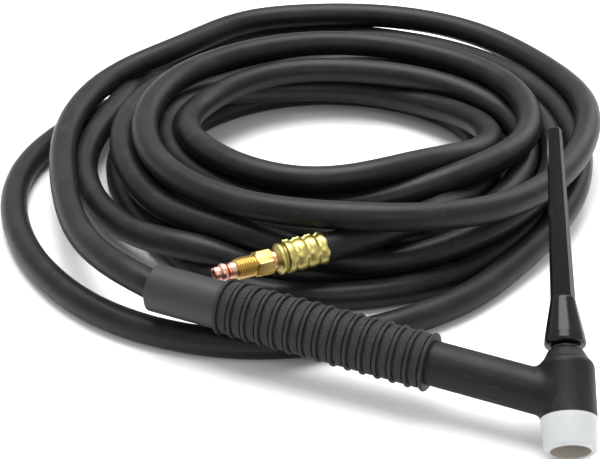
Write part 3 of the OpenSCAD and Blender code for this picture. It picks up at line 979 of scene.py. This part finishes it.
@dataclass
class Handle:
    """Ribbed grip and the tube under it, which ends in a smooth collar."""

    grip_front: float = 67.0
    ribs: int = 15
    rib_pitch: float = 7.7
    rib_radius: float = 14.3
    rib_width: float = 1.9
    land_radius: float = 13.2
    groove_radius: float = 12.3
    groove_width: float = 0.9
    collar_radius: float = 12.15
    tube_radius: float = 11.8
    neck_radius: float = 10.9
    neck_rear: float = 93.0                  # station where the neck's seat ends
    rear: float = 216.0
    cable_radius: float = 7.7
    sides: int = 128

    def build(self) -> None:
        """Builds the grip and the tube."""
        self._grip()
        self._tube()

    @property
    def grip_rear(self) -> float:
        """Station of the grip's rear end."""
        return self.grip_front + (self.ribs - 1) * self.rib_pitch + self.rib_width

    def _grip(self) -> None:
        """Turns the grip: a round rib, a thin groove on each side of it, and coarse flat bands."""
        rows, pebble = [], []
        for i in range(self.ribs):
            start = self.grip_front + i * self.rib_pitch
            self._rib(rows, pebble, start)
            if i < self.ribs - 1:
                self._band(rows, pebble, start + self.rib_width + self.groove_width)
        inner = [(self.grip_rear, self.tube_radius), (self.grip_front + 1, self.tube_radius),
                 (self.grip_front + 1, self.neck_radius), (self.grip_front, self.neck_radius)]
        rows += inner
        pebble += [0.0] * len(inner)
        grip = ring_solid("ribbed_grip_rubber", HANDLE_AXIS, rows, self.sides, smooth_deg=60)
        values = np.repeat(pebble, self.sides).astype(np.float32)
        grip.data.attributes.new("pebble", "FLOAT", "POINT").data.foreach_set("value", values)
        finish_piece(grip, GRIP_RUBBER, "root", "ribbed_grip")

    def _rib(self, rows: list, pebble: list, start: float) -> None:
        """Adds one rib's rings, from the foot of one side to the foot of the other.

        Args:
            rows: the grip's rings so far.
            pebble: their coarseness so far.
            start: station of the rib's first side.
        """
        half = self.rib_width / 2
        steps = 8
        rows.append((start, self.groove_radius))
        pebble.append(0.0)
        for k in range(steps + 1):
            a = math.pi * k / steps
            rows.append((start + half - half * math.cos(a), self.rib_radius - half + half * math.sin(a)))
            pebble.append(0.25)
        rows.append((start + self.rib_width, self.groove_radius))
        pebble.append(0.0)

    def _band(self, rows: list, pebble: list, start: float) -> None:
        """Adds one flat band's rings, with rounded edges and a slight crown.

        Args:
            rows: the grip's rings so far.
            pebble: their coarseness so far.
            start: station of the band's first side.
        """
        width = self.rib_pitch - self.rib_width - 2 * self.groove_width
        edge = 0.45
        rows.append((start, self.groove_radius))
        pebble.append(0.0)
        steps = 4
        for k in range(steps + 1):
            a = math.pi / 2 * k / steps
            station = start + edge - edge * math.cos(a)
            rows.append((station, self.land_radius - edge + edge * math.sin(a)))
            pebble.append(1.0)
        for k in range(1, 6):
            t = k / 6
            station = start + edge + t * (width - 2 * edge)
            rows.append((station, self.land_radius + 0.12 * math.sin(math.pi * t)))
            pebble.append(1.0)
        for k in range(steps + 1):
            a = math.pi / 2 * k / steps
            station = start + width - edge + edge * math.sin(a)
            rows.append((station, self.land_radius - edge + edge * math.cos(a)))
            pebble.append(1.0)
        rows.append((start + width, self.groove_radius))
        pebble.append(0.0)

    def _tube(self) -> None:
        """Turns the tube, with a thin lip behind the grip and rounded rear edges."""
        bore = self.cable_radius + 1.4
        profile = [
            (self.grip_front + 1, self.tube_radius), (self.grip_rear, self.tube_radius),
            (self.grip_rear, self.collar_radius + 0.35), (self.grip_rear + 1.0, self.collar_radius + 0.35),
            (self.grip_rear + 1.5, self.collar_radius), (self.rear, self.collar_radius),
            (self.rear, self.cable_radius + 0.3), (self.rear - 6, self.cable_radius + 0.3),
            (self.rear - 6, bore), (self.neck_rear, bore),
            (self.neck_rear, self.neck_radius), (self.grip_front + 1, self.neck_radius),
        ]
        rear_round = rounded(profile, 0.25, 2)
        tube = ring_solid("handle_tube_plastic", HANDLE_AXIS, self._soft_rear(rear_round), self.sides)
        finish_piece(tube, HANDLE_PLASTIC, "root", "handle_tube")

    def _soft_rear(self, rows: list) -> list:
        """Rounds the collar's rear outer edge more than the other edges.

        Args:
            rows: the tube's rings.

        Returns:
            The rings with the rounder edge.
        """
        soft = 1.2
        out = []
        for station, radius in rows:
            over = max(0.0, station - (self.rear - soft))
            if radius > self.collar_radius - 0.3 and over > 0:
                continue
            out.append((station, radius))
            if abs(station - (self.grip_rear + 1.5)) < 0.6 and abs(radius - self.collar_radius) < 0.01:
                for k in range(7):
                    a = math.pi / 2 * k / 6
                    out.append((self.rear - soft + soft * math.sin(a),
                                self.collar_radius - soft + soft * math.cos(a)))
        return out


@dataclass
class Head:
    """Moulded head with its neck, the insulator, the long cap and the parts inside."""

    barrel_radius: float = 13.0
    barrel_down: float = 9.5
    neck_radius: float = 10.8
    blend: float = 3.2

    def build(self) -> None:
        """Dresses the CAD pieces and adds the moulded blend between neck and barrel."""
        self._blend()
        for node, finish in (
            ("head_body", MOULDED_RUBBER), ("head_core", BRASS), ("power_tube", COPPER),
            ("tube_adapter", BRASS), ("front_insulator", WHITE_PLASTIC), ("back_cap", PHENOLIC),
            ("cap_insert", BRASS), ("cap_o_ring", SEAL_RUBBER), ("union_nut", BRASS),
            ("union_nipple", COPPER), ("union_ferrule", FERRULE_BRASS), ("hose_torch_end", CABLE_RUBBER),
            ("conductor_torch_end", COPPER),
        ):
            dress_node(node, finish)

    def _distance(self, points: np.ndarray) -> np.ndarray:
        """Signed distance of points from the smoothly joined barrel and neck, in millimetres.

        Args:
            points: rows of points in the row frame, in metres.

        Returns:
            One distance for each point, below 0 inside.
        """
        rel = (points - np.array(HEAD_AXIS.origin)) / MM
        up = rel @ np.array(HEAD_AXIS.along)
        round_barrel = np.linalg.norm(rel - np.outer(up, HEAD_AXIS.along), axis=1)
        shoulder = np.hypot(np.maximum(round_barrel - 8.0, 0), np.maximum(up - 14.5, 0)) - 5.0
        barrel = np.where(up > 14.5, shoulder, round_barrel - self.barrel_radius)
        back = rel @ np.array(HANDLE_AXIS.along)
        neck = np.linalg.norm(rel - np.outer(back, HANDLE_AXIS.along), axis=1) - self.neck_radius
        near = np.clip(0.5 + 0.5 * (neck - barrel) / self.blend, 0, 1)
        return neck * (1 - near) + barrel * near - self.blend * near * (1 - near)

    def _blend(self) -> None:
        """Builds the concave skin where the neck runs into the barrel."""
        sides, steps, reach = 120, 14, 6.5
        rows = []
        for k in range(sides):
            a = math.tau * k / sides
            around = HANDLE_AXIS.matrix().to_3x3() @ Vector((math.cos(a), math.sin(a), 0))
            meet = self._junction(around)
            neck_point = HANDLE_AXIS.at(meet + reach) + around * self.neck_radius * MM
            barrel_point = HANDLE_AXIS.at(meet - 2.0) + around * (self.neck_radius + reach) * MM
            rows.append([neck_point.lerp(barrel_point, j / steps) for j in range(steps + 1)])
        points = np.array(rows).reshape(-1, 3)
        for _ in range(12):
            slope = np.column_stack([
                (self._distance(points + step) - self._distance(points - step)) / 0.02
                for step in np.eye(3) * 0.01 * MM
            ])
            size = np.maximum((slope ** 2).sum(axis=1, keepdims=True), 1e-6)
            points = points - slope / size * self._distance(points)[:, None] * MM
        rel = (points - np.array(HEAD_AXIS.origin)) / MM
        up = rel @ np.array(HEAD_AXIS.along)
        points += np.outer(np.maximum(-self.barrel_down + 0.05 - up, 0), HEAD_AXIS.along) * MM
        across = steps + 1
        starts = [(k * across, (k + 1) % sides * across) for k in range(sides)]
        faces = [(a + j, b + j, b + j + 1, a + j + 1) for a, b in starts for j in range(steps)]
        skin = mesh_object("neck_blend", points, faces, 180)
        finish_piece(skin, MOULDED_RUBBER, "root")

    def _junction(self, around: Vector) -> float:
        """Station on the handle's axis where the neck's side line leaves the barrel.

        Args:
            around: direction of the side line from the handle's axis.

        Returns:
            The station in millimetres.
        """
        side = np.array(around) * self.neck_radius
        along, axis = np.array(HANDLE_AXIS.along), np.array(HEAD_AXIS.along)
        low, high = 2.0, 30.0
        for _ in range(30):
            middle = (low + high) / 2
            p = along * middle + side
            if np.linalg.norm(p - axis * (p @ axis)) < self.barrel_radius:
                low = middle
            else:
                high = middle
        return low


def dress_node(name: str, finish: Finish) -> None:
    """Gives a CAD node its material.

    Args:
        name: the node.
        finish: its finish.
    """
    node = frame["nodes"][name]
    node.data.materials.clear()
    node.data.materials.append(finish.material())
    LOG.info("%s keeps its CAD shape, in %s", name, finish.name)


# ---------------------------------------------------------------- connector

@dataclass
class Connector:
    """Crimped ferrule, copper nipple and the brass nut that turns on it."""

    ferrule_len: float = 22.0
    ferrule_radius: float = 8.2
    ferrule_wall: float = 0.9
    seam_deg: float = 28.0                   # bearing of the folded seam from the top
    first_band: float = 4.0                  # station of the first crimped band
    band_pitch: float = 6.5
    lobes: int = 6                           # pillows round each band
    flange_len: float = 5.5
    shank_radius: float = 4.3
    nut_af: float = 12.7
    nut_len: float = 9.0
    thread_radius: float = 5.6
    thread_len: float = 11.0
    thread_pitch: float = 1.27
    nose_radius: float = 4.8
    bore_radius: float = 2.6

    def build(self) -> list:
        """Builds the three pieces and returns everything on the cable's end."""
        dress_node("hose_plug_end", CABLE_RUBBER)
        dress_node("conductor_plug_end", COPPER)
        return [self._ferrule(), self._nipple(), self._nut(),
                frame["nodes"]["hose_plug_end"], frame["nodes"]["conductor_plug_end"]]

    @property
    def neck_to(self) -> float:
        """Station where the nut begins."""
        return self.ferrule_len + self.flange_len + 2

    @property
    def hex_to(self) -> float:
        """Station where the hexagon ends."""
        return self.neck_to + self.nut_len

    @property
    def thread_to(self) -> float:
        """Station where the thread ends."""
        return self.hex_to + self.thread_len

    def _ferrule(self) -> bpy.types.Object:
        """Presses the ferrule: three crimped bands, a folded seam and a scalloped rear end."""
        seam = math.radians(self.seam_deg)

        def wall(station: float) -> object:
            """Radius of the pressed wall at a station, as a function of the angle."""
            def radius(angle: float) -> float:
                """Presses the bands in and raises the fold.

                Args:
                    angle: angle round the ferrule.

                Returns:
                    The radius there.
                """
                band = math.cos(math.tau * (station - self.first_band) / self.band_pitch)
                pressed = max(0.0, band) ** 0.8
                lobes = 0.5 + 0.5 * math.cos(self.lobes * (angle - seam))
                fade = min(1.0, max(0.0, (self.ferrule_len - 0.5 - station) / 1.5))
                r = self.ferrule_radius - fade * pressed * (0.3 + 0.4 * lobes) + 0.15 * max(0.0, -band)
                off = abs((angle - seam + math.pi) % math.tau - math.pi)
                fold = math.exp(-(off / 0.055) ** 4) * (0.75 + 0.2 * math.cos(math.tau * station / 3.1))
                return r + fold
            return radius

        def scallop(angle: float) -> float:
            """Station of the wavy rear end."""
            return 0.35 * math.cos(7 * angle)

        step = 0.45
        rows = [(scallop, self.ferrule_radius - self.ferrule_wall), (scallop, self.ferrule_radius - 0.1)]
        rows += [(s, wall(s)) for s in np.arange(0.6, self.ferrule_len - 0.4, step)]
        flange = self.ferrule_len + self.flange_len
        rim = self.ferrule_radius - 0.1
        end = self.ferrule_len
        inner = self.ferrule_radius - self.ferrule_wall - 0.9
        rows += [
            (end - 0.3, self.ferrule_radius - 1.1), (end + 0.2, self.ferrule_radius - 1.2),
            (end + 1.6, rim - 0.5), (end + 2.0, rim), (end + 2.4, rim + 0.1), (end + 3.2, rim + 0.1),
            (end + 3.6, rim), (end + 3.9, rim - 0.6), (flange - 0.3, self.shank_radius + 1.6),
            (flange, self.shank_radius + 1.2), (flange, self.shank_radius), (end, self.shank_radius),
            (end, inner), (end - 1, inner),
        ]
        ferrule = ring_solid("crimped_ferrule", PLUG_AXIS, rows, 120, smooth_deg=50)
        return finish_piece(ferrule, FERRULE_BRASS, "root", "plug_ferrule")

    def _nipple(self) -> bpy.types.Object:
        """Turns the nipple: collar, shank, groove, ball nose and the bore right through."""
        nose = self.thread_to + 4
        tip = nose + 7.5
        ball = [(nose + 2.4 + 2.4 * math.sin(a), self.nose_radius - 2.4 + 2.4 * math.cos(a))
                for a in (math.radians(d) for d in range(-80, 61, 14))]
        rows = [
            (1, self.shank_radius), (self.ferrule_len + self.flange_len, self.shank_radius),
            (self.ferrule_len + self.flange_len, self.shank_radius + 0.6),
            (self.neck_to - 0.05, self.shank_radius + 0.6), (self.neck_to - 0.05, self.shank_radius),
            (nose - 1.4, self.shank_radius), (nose - 1.1, self.shank_radius - 0.5),
            (nose - 0.5, self.shank_radius - 0.7), (nose - 0.1, self.shank_radius - 0.3), *ball,
            (tip - 1.4, self.nose_radius - 1.1), (tip - 0.4, self.nose_radius - 1.3),
            (tip, self.nose_radius - 1.7), (tip - 0.4, self.bore_radius),
            (self.ferrule_len, self.bore_radius), (self.ferrule_len, 3.2), (1, 3.2),
        ]
        nipple = ring_solid("copper_nipple", PLUG_AXIS, rows, 96, smooth_deg=40)
        return finish_piece(nipple, COPPER, "root", "plug_nipple")

    def _nut(self) -> bpy.types.Object:
        """Cuts the nut: a chamfered hexagon, a relief and a real helical thread."""
        corner = self.nut_af / math.sqrt(3)
        sixth = math.tau / 6
        depth = 0.6 * self.thread_pitch

        def hexagon(cone: float) -> object:
            """Radius of the hexagon inside a cone, as a function of the angle."""
            def radius(angle: float) -> float:
                """Radius at an angle."""
                flat = self.nut_af / 2 / math.cos(angle % sixth - sixth / 2)
                return min(flat, cone)
            return radius

        def thread(station: float, crest: float) -> object:
            """Radius of the helical thread at a station, as a function of the angle."""
            def radius(angle: float) -> float:
                """Radius at an angle."""
                phase = (station / self.thread_pitch - angle / math.tau) % 1.0
                tooth = min(1.0, max(0.0, 1.25 - abs(phase - 0.5) * 3.4))
                return crest - depth * (1 - tooth)
            return radius

        start = self.neck_to + 0.05
        taper = 0.9
        rows = [(start, self.nut_af / 2 - 0.4), (start, hexagon(self.nut_af / 2 - 0.1)),
                (start + taper, hexagon(corner)), (self.hex_to - taper, hexagon(corner)),
                (self.hex_to, hexagon(self.nut_af / 2 - 0.1)),
                (self.hex_to, self.thread_radius - depth - 0.2),
                (self.hex_to + 0.9, self.thread_radius - depth - 0.2)]
        stations = np.arange(self.hex_to + 1.0, self.thread_to - 0.8, self.thread_pitch / 9)
        rows += [(s, thread(s, self.thread_radius)) for s in stations]
        rows += [(self.thread_to, self.thread_radius - depth), (self.thread_to, self.shank_radius + 0.05),
                 (start, self.shank_radius + 0.05)]
        nut = ring_solid("threaded_nut", PLUG_AXIS, rows, 96, smooth_deg=28)
        return finish_piece(nut, BRASS, "connector_nut", "plug_nut")


# ---------------------------------------------------------------- main


def main() -> None:
    """Builds the scene: camera, cable, torch and connector."""
    logging.basicConfig(level=logging.INFO, format="%(message)s")
    Studio().build()
    Cable().build(Connector().build())
    Handle().build()
    Head().build()


if __name__ == "__main__":
    main()
